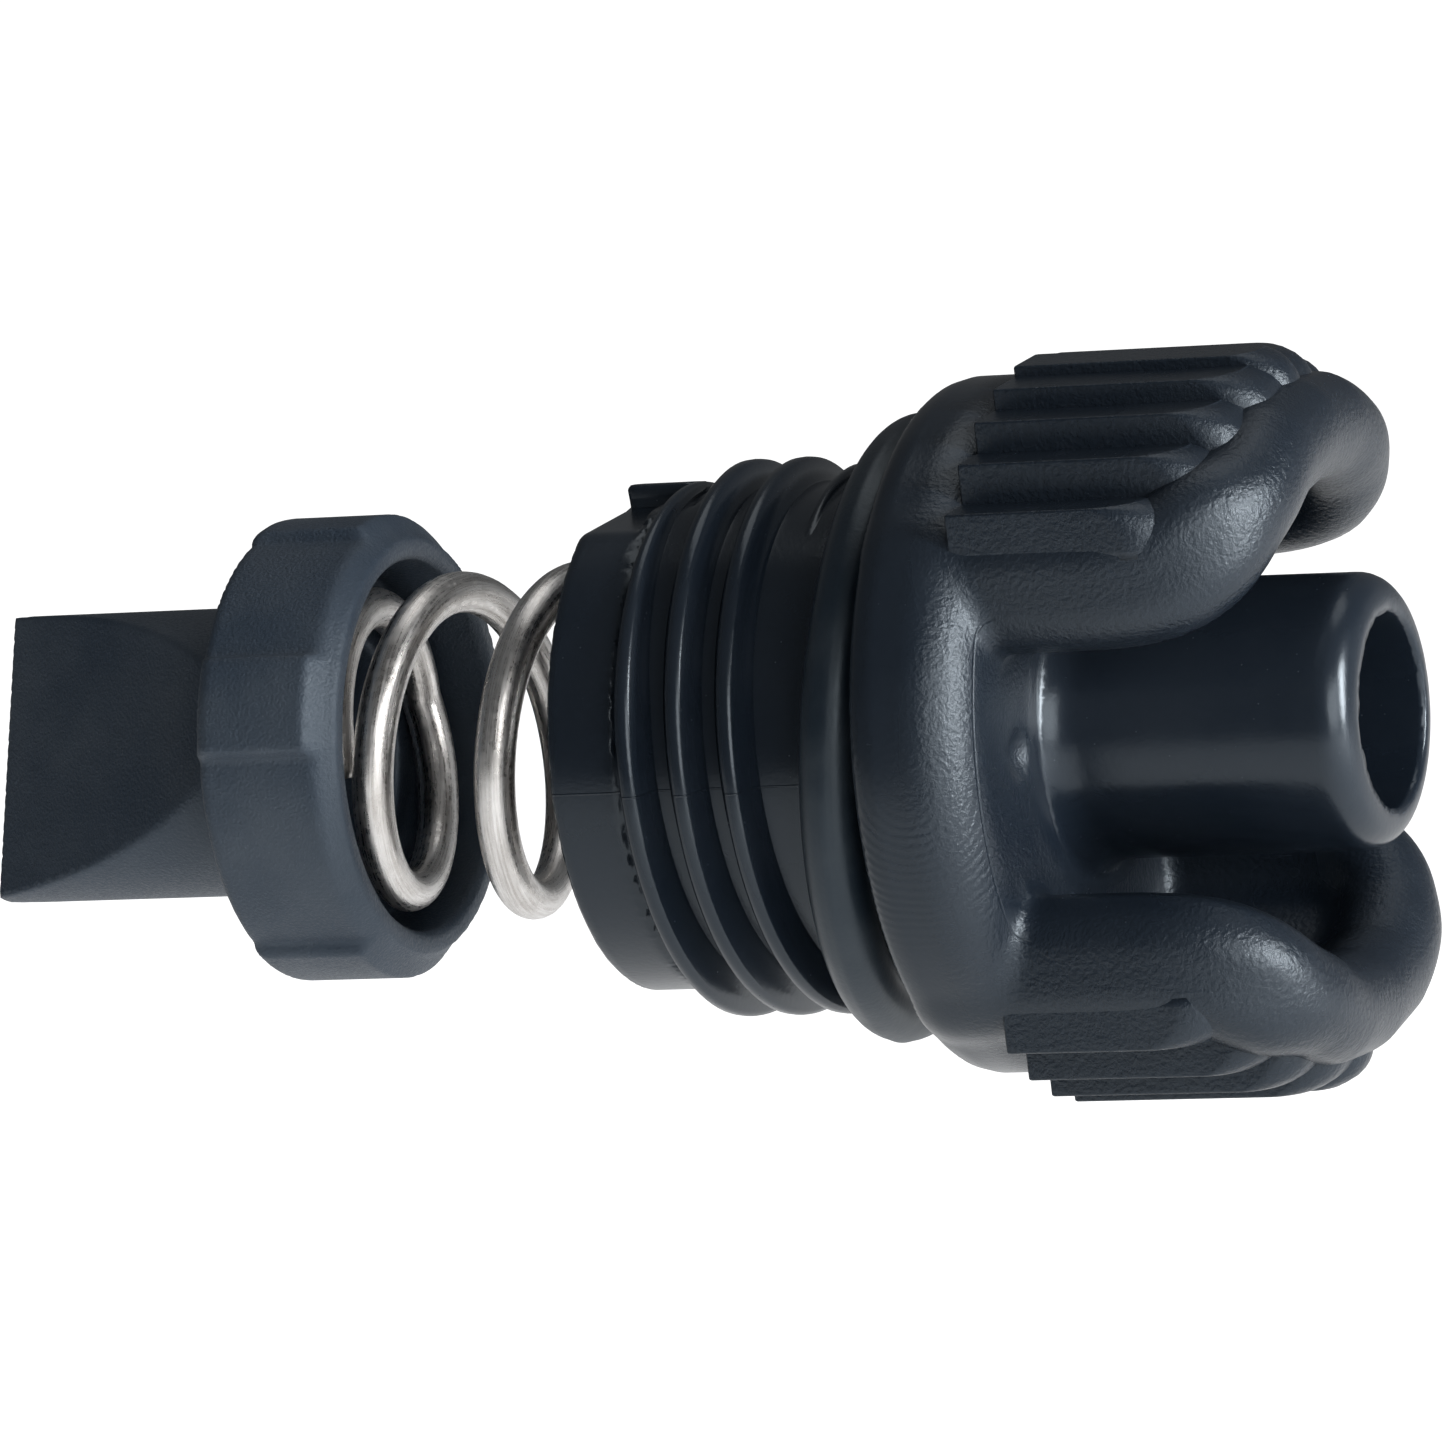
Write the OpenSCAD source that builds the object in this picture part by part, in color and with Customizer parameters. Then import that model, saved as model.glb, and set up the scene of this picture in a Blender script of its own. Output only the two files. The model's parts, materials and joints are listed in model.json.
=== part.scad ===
// Spring-loaded duckbill check valve with a screw-in cap, for the water supply of a toilet.
// The valve axis is X, with the inlet nozzle towards +X and the duckbill towards -X.
// X = 0 is the back face of the cap's flange, which stops against the port.
// The two finger grips stand above and below the axis, at +Z and -Z.

/* [Screw cap] */
// Diameter of the flange
flange_d = 32.2; // [30:0.1:34]
// Distance from the flange's back face to its front face
flange_t = 5.6; // [4.5:0.1:7]
// Radius of the rounded front edge of the flange
dome_r = 3.0; // [1:0.1:4]
// Distance from the flange's back face to the inner end of the shank
shank_l = 16.54; // [14:0.01:20]
// Diameter of the plain pilot at the inner end of the shank
pilot_d = 23.7; // [23:0.05:24.5]
// Length of the plain pilot
pilot_l = 3.3; // [2:0.1:4]
// Height of the flat on top of the pilot, above the axis
pilot_flat_h = 10.3; // [9.8:0.05:11.5]

/* [Thread] */
// Outside diameter of the thread
thread_d = 26.0; // [25:0.1:26.8]
// Diameter at the bottom of the thread and of the plain neck after it
thread_root_d = 23.2; // [22.8:0.1:23.4]
// Distance from one turn to the next
thread_pitch = 2.54; // [2:0.01:3]
// Width of a turn at its crest
crest_w = 0.7; // [0.4:0.05:1]
// Width of a turn at its foot
foot_w = 1.8; // [1.2:0.05:2.2]
// Number of turns
thread_turns = 3.3; // [2:0.1:3.5]

/* [Nozzle] */
// Outside diameter of the nozzle
nozzle_d = 12.8; // [11:0.1:14]
// Bore of the nozzle
bore_d = 8.96; // [7:0.02:10]
// Distance from the flange's back face to the end of the nozzle
nozzle_end = 20.4; // [16:0.1:24]
// Radius of the rounded lip
lip_r = 1.5; // [0.5:0.1:1.8]
// Diameter of the collar at the foot of the nozzle
foot_d = 18.4; // [16:0.1:20]

/* [Finger grips] */
// Diameter across the crests of the ribs
rib_d = 34.6; // [33.5:0.1:36]
// Angle from one rib to the next
rib_step = 9.7; // [8:0.1:11]
// Start of the ribs along the axis
rib_start = 4.4; // [3.5:0.1:5]
// End of the ribs along the axis
rib_end = 17.2; // [14:0.1:18]
// Diameter of the rolled bead around each grip
bead_d = 4.6; // [3:0.1:5]
// Half width of a grip, to the middle of its bead
grip_half_w = 9.7; // [8:0.1:11]
// Height of the bead's middle at the sides of a grip
bead_side_z = 8.0; // [7:0.1:9]
// Height of the bead's middle at the middle of a grip
bead_top_z = 13.3; // [12:0.1:14]
// Reach of the bead's middle along the axis
bead_reach = 16.9; // [14:0.1:18]

/* [O-ring] */
// Thickness of the O-ring's cord
cord_d = 2.9; // [2:0.05:3.2]
// Inside diameter of the O-ring
ring_id = 23.4; // [23:0.05:24]
// Tilt of the O-ring, which is rolled on but not pressed home
ring_tilt = 6.4; // [0:0.1:7]

/* [Spring] */
// Thickness of the spring wire
wire_d = 1.95; // [1.2:0.05:2.2]
// Outside diameter of the spring
spring_od = 16.8; // [14:0.1:17.4]
// Distance between the open turns
spring_pitch = 6.4; // [5:0.1:8]
// Diameter of the pocket in the shank that holds the spring
pocket_d = 18.2; // [17.6:0.1:19]
// Distance from the flange's back face to the pocket's floor
pocket_floor = 3.0; // [2:0.1:5]

/* [Duckbill] */
// Diameter over the lobes of the collar
collar_d = 22.0; // [20:0.1:23]
// Depth of the shallow reliefs between the lobes
relief = 0.7; // [0.3:0.05:1.2]
// Distance from the flange's back face to the mouth of the collar
mouth_x = 28.1; // [26:0.1:32]
// Length of the collar
collar_l = 6.85; // [5:0.05:9]
// Width of the flat bill
bill_w = 13.7; // [12:0.1:15]
// Length of the bill
bill_l = 14.7; // [12:0.1:18]
// Thickness of the bill at its tip
tip_t = 1.5; // [1:0.1:3]
// Wall of the bill
bill_wall = 1.3; // [0.9:0.1:1.8]
// Turn of the duckbill about the valve's axis
bill_turn = 24; // [0:1:90]
// Depth of the recess that holds the spring's end
recess_l = 3.9; // [3.9:0.05:4.5]
// Diameter of the recess that holds the spring's end
recess_d = 17.6; // [17.2:0.1:18.4]

/* [Hidden] */

eps = 0.01;
flange_r = flange_d / 2;
thread_r = thread_d / 2;
root_r = thread_root_d / 2;
nozzle_r = nozzle_d / 2;
rib_r = rib_d / 2;
// The thread starts at this place and angle; its sleeve runs into the pilot and the flange
thread_x = -13.36;
thread_angle = 20;
sleeve_x0 = -shank_l + pilot_l - 0.3;
sleeve_x1 = 0.4;
bead_r = bead_d / 2;
// The bead's curve starts here along the axis
bead_x0 = 5.25;
cord_r = cord_d / 2;
ring_r = ring_id / 2 + cord_r;
wire_r = wire_d / 2;
coil_r = spring_od / 2 - wire_r;
// Axial centre of the O-ring: its highest edge touches the flange
ring_x = -cord_r - ring_r * tan(ring_tilt) - 0.02;
// Angle about the axis, from the top, at which it touches
ring_tilt_dir = 34;
// Near side of the spring's first open turn, and of the end coil that touches it
spring_near_x = -mouth_x + 0.45;
end_near_x = spring_near_x - wire_d - 0.05;
// The end coil leans back into the recess this far in a turn
end_lean = 2.8;
// The free end coil is drawn in, and opens to the full radius over its first turns
end_draw = 1.0;
draw_turns = 1.75;
// At its other end the spring lies flat on the pocket's floor for part of a turn
spring_seat_x = -pocket_floor - wire_r - 0.03;
seat_turn = 0.69;
spring_turns = 1 + (spring_seat_x - spring_near_x) / spring_pitch + seat_turn;
// Points along a tube: how many, and how many round it
tube_sides = 12;

// Stands what is drawn along Z on the X axis instead
module along_x() rotate([0, 90, 0]) children();

// Points of a circular arc from angle a0 to a1
function arc(cx, cy, r, a0, a1, n = 8) =
    [for (i = [0 : n]) let (a = a0 + (a1 - a0) * i / n) [cx + r * cos(a), cy + r * sin(a)]];

// Unit vector, and the cross product's direction
function unit(v) = v / norm(v);

// Vertices of a round tube along a path; side gives a direction across the path at each point
function tube_points(path, side, r, n) =
    [for (i = [0 : len(path) - 1])
        let (t = unit(path[min(i + 1, len(path) - 1)] - path[max(i - 1, 0)]),
             u = unit(side[i] - (side[i] * t) * t), v = cross(t, u))
        for (k = [0 : n - 1]) path[i] + r * (cos(360 * k / n) * u + sin(360 * k / n) * v)];

// Triangles that join rows of n points, closed at both ends
function tube_faces(rows, n) = concat(
    [[for (k = [0 : n - 1]) k]],
    [for (i = [0 : rows - 2]) for (k = [0 : n - 1]) let (a = i * n + k, b = i * n + (k + 1) % n)
        each [[a, a + n, b], [b, a + n, b + n]]],
    [[for (k = [n - 1 : -1 : 0]) (rows - 1) * n + k]]);

module tube(path, side, r, n = tube_sides)
    polyhedron(tube_points(path, side, r, n), tube_faces(len(path), n), convexity = 6);

// ---- Screw cap ----

// Outline of the turned body, as radius and height along the axis
function cap_outline() = concat(
    [[0, -shank_l], [pilot_d / 2 - 0.3, -shank_l], [pilot_d / 2, -shank_l + 0.3],
     [pilot_d / 2, -shank_l + pilot_l], [root_r - 0.7, -shank_l + pilot_l], [root_r - 0.7, 0],
     [flange_r - 0.45, 0], [flange_r, 1.0]],
    arc(flange_r - dome_r, flange_t - dome_r, dome_r, 0, 90),
    [[foot_d / 2, flange_t], [foot_d / 2 - 0.5, flange_t + 0.3], [nozzle_r + 0.6, flange_t + 0.55],
     [nozzle_r, flange_t + 1.1]],
    arc(nozzle_r - lip_r, nozzle_end - lip_r, lip_r, 0, 90),
    [[0, nozzle_end]]);

// Height of the thread, 0 to 1, after t turns: it grows in at the start and fades at the end
function lift(t) = max(0, min(1, 3 * (t - 0.06), 5 * (thread_turns - t)));

// Points down one side of the threaded sleeve, at the angle of part f of a turn
function sleeve_column(f) = concat([[sleeve_x0, root_r]],
    [for (k = [0 : floor(thread_turns)]) let (t = k + f, h = lift(t), w = max(0.1, h))
        for (c = [[-foot_w, 0], [-crest_w, h], [crest_w, h], [foot_w, 0]])
        [thread_x + thread_pitch * t + c[0] / 2 * w, root_r + c[1] * (thread_r - root_r)]],
    [[sleeve_x1, root_r]]);

// Sleeve with the thread on it, closed by a flat at each end
module threaded_sleeve(columns = 60) {
    cols = [for (j = [0 : columns - 1]) let (a = thread_angle + 360 * j / columns)
        [for (p = sleeve_column(j / columns)) [p[0], p[1] * cos(a), p[1] * sin(a)]]];
    n = len(cols[0]);
    last = (columns - 1) * n;
    // The last column meets the first one turn further along
    seam = concat(
        [for (i = [1 : n - 7]) each [[last + i, last + i + 1, i + 4], [last + i + 1, i + 5, i + 4]]],
        [[last, last + 1, 5, 4, 3, 2, 1, 0]],
        [concat([n - 1, n - 2], [for (i = [n - 6 : n - 1]) last + i])]);
    polyhedron([for (c = cols) each c], concat(
        [for (j = [0 : columns - 2]) for (i = [0 : n - 2]) let (p = j * n + i)
            each [[p, p + 1, p + n], [p + 1, p + n + 1, p + n]]],
        seam,
        [[for (j = [0 : columns - 1]) j * n]],
        [[for (j = [columns - 1 : -1 : 0]) j * n + n - 1]]), convexity = 8);
}

// Middle line of the bead: straight along one side, round the tongue's end and back
function bead_line(n = 40) = concat(
    [for (x = [3.1, 4.5]) [x, -grip_half_w, bead_side_z]],
    [for (i = [0 : n]) let (a = 180 - 180 * i / n, c = cos(a), s = sin(a), p = 2 / 5.84,
        y = grip_half_w * sign(c) * pow(abs(c), p), x = bead_x0 + (bead_reach - bead_x0) * pow(abs(s), p))
        [x, y, bead_z(y)]],
    [for (x = [4.5, 3.1]) [x, grip_half_w, bead_side_z]]);
function bead_z(y) = bead_side_z + (bead_top_z - bead_side_z) * (1 - pow(abs(y) / grip_half_w, 2.5));

module bead() {
    line = bead_line();
    tube(line, [for (p = line) [0, p[1] * 0.3, 1]], bead_r);
}

// Plan of a grip, seen along Z: a tongue with rounded corners
module tongue(half_w, reach, corner, start = 2) translate([start, 0]) {
    l = reach - start;
    union() {
        translate([0, -half_w]) square([l - corner, 2 * half_w]);
        translate([0, -half_w + corner]) square([l, 2 * half_w - 2 * corner]);
        for (s = [-1, 1]) translate([l - corner, s * (half_w - corner)]) circle(corner, $fn = 48);
    }
}

// Steps of the ribs across the grip, as y and z: each crest lies on the rib circle
function rib_steps() = concat(
    [for (k = [4 : -1 : 0]) let (a = rib_step * (k + 0.5), b = rib_step * (k - 0.5))
        each [[-rib_r * sin(a), rib_r * cos(a)],
              k > 0 ? [-rib_r * sin(b), rib_r * cos(a)] : [0, rib_r * cos(a)]]],
    [for (k = [0 : 4]) let (a = rib_step * (k + 0.5), b = rib_step * (k - 0.5))
        each [k > 0 ? [rib_r * sin(b), rib_r * cos(a)] : [0, rib_r * cos(a)],
              [rib_r * sin(a), rib_r * cos(a)]]]);

module ribs() intersection() {
    foot = rib_r * sin(4.5 * rib_step);
    // Steps, drawn across the grip and run along the axis
    translate([rib_start, 0, 0]) rotate([90, 0, 90])
        linear_extrude(rib_end - rib_start)
            polygon(concat([[foot, 10.6], [0, 13], [-foot, 10.6]], rib_steps()));
    // Rounded corners in plan
    linear_extrude(20) tongue(rib_r, rib_end, 7.5, 0);
    // Rounded nose in side view
    rotate([90, 0, 0]) translate([0, 0, -20]) linear_extrude(40)
        tongue(rib_r + 0.02, rib_end, 3, 0);
}

// Curved plate between the beads
module web() intersection() {
    along_x() difference() {
        cylinder(r = 15.0, h = 17, $fn = 96);
        translate([0, 0, -1]) cylinder(r = 12.1, h = 30, $fn = 96);
    }
    linear_extrude(20) tongue(grip_half_w, bead_reach, 2.5, 3);
    translate([0, -15, bead_side_z - 0.6]) cube([20, 30, 12]);
}

module grip() {
    ribs();
    web();
    bead();
}

module screw_cap() color([0.05, 0.055, 0.07]) difference() {
    union() {
        along_x() rotate_extrude($fn = 96) polygon(cap_outline());
        threaded_sleeve();
        grip();
        rotate([180, 0, 0]) grip();
    }
    // Bore, spring pocket and the flat that clears the port's stop
    along_x() translate([0, 0, -shank_l - 1]) cylinder(d = bore_d, h = shank_l + nozzle_end + 2, $fn = 96);
    along_x() translate([0, 0, -shank_l - 1])
        cylinder(d = pocket_d, h = shank_l + 1 - pocket_floor, $fn = 96);
    translate([-shank_l - 1, -8, pilot_flat_h]) cube([pilot_l + 0.6, 9, 4]);
}

// ---- O-ring, tilted so that its upper near side rests on the flange ----

module o_ring() color([0.07, 0.07, 0.08])
    translate([ring_x, 0, 0]) rotate([ring_tilt_dir, 0, 0]) rotate([0, ring_tilt, 0])
        along_x() rotate_extrude($fn = 96) translate([ring_r, 0]) circle(cord_r, $fn = 48);

// ---- Spring, wound left-handed with a closed coil at each end ----

// Radius of the wire's middle line after t turns
function spring_r(t) = coil_r - end_draw * max(0, 1 - t / draw_turns);

// Axial position after t turns: the leaning end coil, the open turns, then flat on the floor
function spring_x(t) = min(spring_seat_x,
    max(end_near_x - end_lean * t, spring_near_x + spring_pitch * (t - 1)));

module spring(per_turn = 36, first_angle = 180) color([0.6, 0.6, 0.6]) {
    n = floor(spring_turns * per_turn);
    line = [for (i = [0 : n]) let (t = spring_turns * i / n, a = first_angle - 360 * t)
        [spring_x(t), spring_r(t) * cos(a), spring_r(t) * sin(a)]];
    tube(line, [for (p = line) [0, p[1], p[2]]], wire_r);
}

// ---- Duckbill ----

// Flat bill: a round stub cut by two slanting planes down to a thin tip
module bill(w, l, tip) difference() {
    along_x() translate([0, 0, -l]) cylinder(d = w, h = l + 2, $fn = 96);
    for (s = [-1, 1]) scale([1, s, 1])
        rotate([0, 0, 0]) linear_extrude(4 * w, center = true)
            polygon([[-l - 1, tip / 2], [-l, tip / 2], [0, w / 2 + 0.15], [0, w], [-l - 1, w]]);
}

// Collar with two wide and two narrow lobes
module collar() {
    x0 = -mouth_x - collar_l;
    difference() {
        translate([x0, 0, 0]) along_x() rotate_extrude($fn = 96) polygon([
            [0, 0], [collar_d / 2 - 0.3, 0], [collar_d / 2, 0.3], [collar_d / 2, collar_l - 1.3],
            [collar_d / 2 - 0.9, collar_l - 0.5], [collar_d / 2 - 1.2, collar_l], [0, collar_l]]);
        translate([x0 - 1, 0, 0]) for (a = [0, 180]) rotate([a, 0, 0]) {
            lobe_gap(12.5, 58, collar_l + 0.3);
            lobe_gap(-73, -12.5, collar_l + 0.3);
        }
    }
}

// Shallow relief in the collar's rim between two angles, counted from the bill's flat side
module lobe_gap(a0, a1, l) along_x() rotate([0, 0, 90 - a1]) rotate_extrude(angle = a1 - a0, $fn = 96)
    translate([collar_d / 2 - relief, 0]) square([3, l]);

module duckbill() color([0.13, 0.15, 0.18]) rotate([-bill_turn, 0, 0]) difference() {
    union() {
        collar();
        translate([-mouth_x - collar_l, 0, 0]) bill(bill_w, bill_l, tip_t);
    }
    // Recess for the spring's end, then the passage into the bill
    translate([-mouth_x - recess_l, 0, 0]) along_x() cylinder(d = recess_d, h = 10, $fn = 96);
    translate([-mouth_x - collar_l - 0.01, 0, 0]) along_x()
        cylinder(d = bill_w - 2 * bill_wall, h = 10, $fn = 96);
    translate([-mouth_x - collar_l, 0, 0])
        bill(bill_w - 2 * bill_wall, bill_l - 1.6, 0.5);
    // Slit between the lips
    translate([-mouth_x - collar_l - bill_l - 1, -0.06, -bill_w / 2 + bill_wall])
        cube([bill_l, 0.12, bill_w - 2 * bill_wall]);
}

screw_cap();
o_ring();
spring();
duckbill();
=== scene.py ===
"""Spring-loaded duckbill check valve with a screw-in cap: looks, light and camera.

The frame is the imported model's own: X is the valve's axis, with the inlet nozzle towards +X, and
X = 0 is the back face of the cap's flange. Shapes are worked out in millimetres and put into
Blender in metres.
"""
import json

import bpy
import numpy as np
from mathutils import Matrix, Vector


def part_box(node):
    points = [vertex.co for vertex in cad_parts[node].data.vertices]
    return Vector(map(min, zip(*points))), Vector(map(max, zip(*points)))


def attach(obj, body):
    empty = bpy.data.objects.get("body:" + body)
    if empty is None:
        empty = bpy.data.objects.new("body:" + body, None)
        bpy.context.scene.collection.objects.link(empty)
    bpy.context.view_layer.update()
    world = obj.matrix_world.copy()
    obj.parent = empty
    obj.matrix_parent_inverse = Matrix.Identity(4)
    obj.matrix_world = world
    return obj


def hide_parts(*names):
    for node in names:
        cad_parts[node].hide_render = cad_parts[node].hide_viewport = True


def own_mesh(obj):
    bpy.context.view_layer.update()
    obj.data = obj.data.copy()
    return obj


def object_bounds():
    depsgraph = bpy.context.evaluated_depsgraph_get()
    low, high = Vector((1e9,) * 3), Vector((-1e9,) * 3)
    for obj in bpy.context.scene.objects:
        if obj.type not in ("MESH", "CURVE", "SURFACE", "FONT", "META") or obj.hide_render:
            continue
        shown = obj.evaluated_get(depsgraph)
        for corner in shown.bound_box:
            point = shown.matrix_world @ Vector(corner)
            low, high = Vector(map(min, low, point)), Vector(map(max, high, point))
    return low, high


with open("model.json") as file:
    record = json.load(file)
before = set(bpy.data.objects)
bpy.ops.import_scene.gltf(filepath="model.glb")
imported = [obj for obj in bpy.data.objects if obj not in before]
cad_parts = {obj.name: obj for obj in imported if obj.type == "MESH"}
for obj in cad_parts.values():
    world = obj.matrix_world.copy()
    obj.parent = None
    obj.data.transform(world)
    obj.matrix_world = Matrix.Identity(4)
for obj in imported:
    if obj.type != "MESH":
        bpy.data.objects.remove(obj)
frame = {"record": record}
cad_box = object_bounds()

MM = 0.001


# ---- Sizes, in millimetres: the frame's own boxes and mounts, then fine detail ----

def node_box(name):
    """Lowest and highest corner of a CAD node in millimetres."""
    low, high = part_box(name)
    return np.array(low) / MM, np.array(high) / MM


def mount_radius(name):
    """Radius in millimetres of the record's mount of this name."""
    return next(m for m in frame["record"]["mounts"] if m["name"] == name)["dims"]["r_mm"]


CAP_LOW, CAP_HIGH = node_box("screw_cap")
RING_LOW, RING_HIGH = node_box("o_ring")
SPRING_LOW, SPRING_HIGH = node_box("spring")
BILL_LOW, BILL_HIGH = node_box("duckbill")

FLANGE_R = CAP_HIGH[1]
FLANGE_T = 5.6
DOME_R = 3.0
SHANK_END = CAP_LOW[0]
NOZZLE_END = 20.4
NOZZLE_R = mount_radius("nozzle")
BORE_R = mount_radius("nozzle_bore")
PILOT_R = mount_radius("port_pilot")
PILOT_L = 3.3
ROOT_R = 11.6
LIP_R = 1.5
EDGE_R = 0.25
POCKET_R = 9.1
POCKET_FLOOR = -3.0
FOOT_R = 9.2
NOZZLE_FILLET = 2.3

# The flat on the pilot and the lower one on the tab behind it
FLAT_Z = 10.75
TAB_Z = 11.35
TAB_L = 1.3
FLAT_Y = -3.5
FLAT_HALF = 4.5

# The gate's dimple: a ball that cuts into the flange's front
GATE = (6.84, -9.3, 0.6)
GATE_R = 1.69

# Marks in the plastic: what the flow marks ring, and the insert's seam round the channel's floor
FLOW_CENTRE = (2.6, -FLANGE_R, 0.6)
SEAM_R = 14.1

# Thread: right-handed, a rounded trapezoid, a little low like the grips
THREAD_R = 13.0
THREAD_X = -13.36
THREAD_ANGLE = 20.0
PITCH = 2.54
TURNS = 3.3
FOOT_W = 1.8
THREAD_DROP = 0.22
# Half of its section: place across in foot widths, and height in thread depths
THREAD_SIDE = ((0.5, -0.25), (0.56, 0.0), (0.42, 0.1), (0.3, 0.5), (0.22, 0.86), (0.13, 0.98))

# Finger grips: a rolled bead round a curved web, with steps on its back. They sit a little low.
BEAD_R = 2.3
BEAD_X0 = 5.25
BEAD_REACH = 16.88
BEAD_Y = 9.69
BEAD_SIDE_Z = 8.01
BEAD_TOP_Z = 13.31
BEAD_POWER = 5.84
CROWN_POWER = 2.54
BEAD_START_X = 2.5
SHOULDER_SHIFT = (-0.45, 0.12, 1.75)
WEB_IN = 12.1
WEB_OUT = 15.0
BEAD_FILLET = 0.7
WEB_FILLET = 1.0
GRIP_FILLET = 0.9
RIB_R = 17.3
RIB_STEP = 9.7
RIB_START = 4.4
RIB_UNDER_R = 13.2
CREST_EDGE = 0.12
RIB_NOSE_R = 2.0
RIB_NOSES = (17.6, 17.4, 17.0, 16.4, 15.5)
RIB_CORNERS = (1.9, 1.9, 1.9, 2.0, 2.8)
GRIP_DROP = 0.24

# O-ring
CORD_R = 1.45
RING_TILT = 6.4
RING_TURN = 34.0
FLASH_H = 0.05
FLASH_HALF = 0.06

# Spring: left-handed. Its free end coil leans and is drawn in; the other end lies flat in the pocket
WIRE_R = 0.975
SPRING_PITCH = 6.4
SPRING_NEAR_X = -27.65
END_NEAR_X = -29.65
END_LEAN = 2.8
END_DRAW = 1.0
DRAW_TURNS = 1.75
SEAT_TURN = 0.69
CUT_ROUND = 0.12

# Duckbill. Its lobes are given by half their width in degrees and where they lie
BILL_TURN = 24.0
MOUTH_X = -28.1
COLLAR_BACK = -34.95
COLLAR_R = 11.0
BACK_ROUND = 0.75
RELIEF = 0.7
LOBE_SPARE = 0.15
RECESS_R = 8.8
RECESS_X = -32.0
BILL_R = 6.85
BILL_TIP = 1.5
BILL_WALL = 1.3
LIP_L = 1.6
SLIT_HALF = 0.14
PLUG_R = 6
NARROW_LOBE = 12.5
WIDE_LOBE = 24.5
WIDE_LOBE_AT = 82.5
LOBE_FLANK = 0.62

# Camera: the photograph's view, in degrees and millimetres, with its roll in radians
VIEW_ROUND = 22.9
VIEW_ABOVE = 12.2
VIEW_ROLL = -0.03701
VIEW_TARGET = (-19.117, 0, 0)
VIEW_DISTANCE = 528.66
VIEW_SHIFT = (5.849, 0.763)
LENS = 281.0
SENSOR = 36.0

# Stage: the floor in metres, how bright it is to the camera and to other rays, and the world
FLOOR_SIZE = 1.5
FLOOR_PLACE = (0, 0.22, -0.075)
FLOOR_GLOW = 0.38
FLOOR_SEEN_GLOW = 0.55
GLOW_TOWARDS = (0.5, 0.2, -0.84)
GLOW_SPAN = (0.0, 0.8, 0.11, 0.6)
BACKDROP = 1.05
LIGHT_DISTANCE = 0.5
# Name, direction from the part, width and height in metres, power in watts
LIGHTS = (
    ("key_strip", (0.966, -0.144, 0.225), 0.10, 0.26, 2.9),
    ("side_box", (0.72, -0.66, 0.22), 0.30, 0.28, 1.1),
    ("top_fill", (0.1, 0.3, 1.0), 0.4, 0.25, 0.35),
)

# How fine the meshes are, and the space sampled round each
CAP_CELL = 0.3
CAP_MARGIN = 0.8
BILL_CELL = 0.25
BILL_MARGIN = 0.6

MIDDLE = (Vector(cad_box[0]) + Vector(cad_box[1])) / 2


# ---- Distance fields: negative inside a shape, in millimetres ----

def soft_min(a, b, k):
    """Union of two shapes with a fillet of about k."""
    h = np.clip(0.5 + 0.5 * (b - a) / k, 0, 1)
    return b + (a - b) * h - k * h * (1 - h)


def soft_max(a, b, k):
    """What two shapes share, with its edge rounded by about k."""
    return -soft_min(-a, -b, k)


def outline_distance(outline, px, py):
    """Signed distance from points to a closed flat outline."""
    outline = np.asarray(outline, float)
    best = np.full(px.shape, np.inf)
    inside = np.zeros(px.shape, bool)
    for (ax, ay), (bx, by) in zip(outline, np.roll(outline, -1, axis=0)):
        ex, ey = bx - ax, by - ay
        if ex * ex + ey * ey < 1e-12:
            continue
        wx, wy = px - ax, py - ay
        t = np.clip((wx * ex + wy * ey) / (ex * ex + ey * ey), 0, 1)
        best = np.minimum(best, (wx - t * ex) ** 2 + (wy - t * ey) ** 2)
        if ay != by:
            crosses = (ay <= py) != (by <= py)
            inside ^= crosses & (px < ax + (py - ay) * ex / ey)
    return np.sqrt(best) * np.where(inside, -1, 1)


def path_distance(path, x, y, z):
    """Distance from points to an open line in space."""
    best = np.full(x.shape, np.inf)
    for a, b in zip(path[:-1], path[1:]):
        e = b - a
        wx, wy, wz = x - a[0], y - a[1], z - a[2]
        t = np.clip((wx * e[0] + wy * e[1] + wz * e[2]) / (e @ e), 0, 1)
        d = (wx - t * e[0]) ** 2 + (wy - t * e[1]) ** 2 + (wz - t * e[2]) ** 2
        best = np.minimum(best, d)
    return np.sqrt(best)


def arc(cx, cy, r, start, end, steps=8):
    """Points of a circular arc, angles in degrees."""
    angles = np.radians(np.linspace(start, end, steps + 1))
    return [(cx + r * np.cos(a), cy + r * np.sin(a)) for a in angles]


# ---- A mesh from a distance field ----

def slope(field, p, reach=0.01):
    """Unit normals of a field at points, from four samples round each."""
    corners = np.array([(1, -1, -1), (-1, -1, 1), (-1, 1, -1), (1, 1, 1)], float)
    g = sum(c * field(p + c * reach)[:, None] for c in corners)
    return g / np.maximum(np.linalg.norm(g, axis=1, keepdims=True), 1e-12)


def in_parts(field, p, size=120_000):
    """A field at many points, a part at a time."""
    return np.concatenate([field(p[i:i + size]) for i in range(0, len(p), size)])


def slope_parts(field, p, size=60_000):
    """A field's unit normals at many points, a part at a time."""
    return np.concatenate([slope(field, p[i:i + size]) for i in range(0, len(p), size)])


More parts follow.
